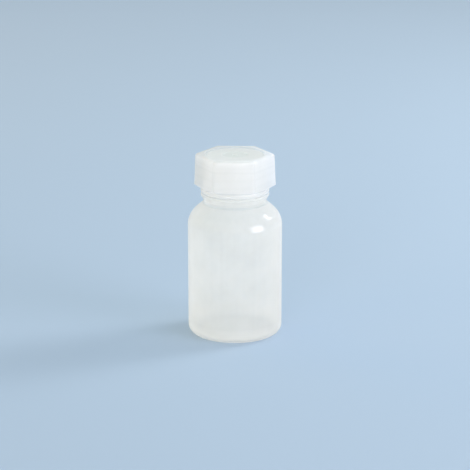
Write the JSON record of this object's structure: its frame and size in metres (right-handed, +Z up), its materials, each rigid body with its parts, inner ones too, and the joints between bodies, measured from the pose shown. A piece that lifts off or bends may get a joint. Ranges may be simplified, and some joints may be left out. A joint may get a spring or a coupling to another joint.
{
  "type": "reagent bottle",
  "caption": "Round wide-neck bottle of translucent milky plastic for storing reagents, with a sloping shoulder and neck collar, closed by a hexagonal screw cap with a soft sealing disc.",
  "frame": {"origin": "on the bottle's axis, in the plane that its foot ring stands on", "axes": "+Z up along the bottle's axis towards the cap; the pictured side faces -Y, so +X is to its right"},
  "size_m": [0.048, 0.048, 0.094],
  "materials": {
    "bottle_wall": "satin",
    "cap": "satin",
    "disc": "matte"
  },
  "bodies": {
    "bottle": {"bottle": "bottle_wall"},
    "seal": {"sealing_disc": "disc"},
    "cap": {"screw_cap": "cap"}
  },
  "joints": [
    {"name": "cap_lift", "type": "slide", "parent": "bottle", "child": "seal", "axis": [0, 0, 1], "range_m": [0, 0.0201]},
    {"name": "cap_turn", "type": "hinge", "parent": "seal", "child": "cap", "pos_m": [0, 0, 0.0923], "axis": [0, 0, 1], "range_deg": [0, 1800]}
  ],
  "couplings": [
    {"joint": "cap_lift", "follows": "cap_turn", "m_per_rad": 0.00063662}
  ]
}
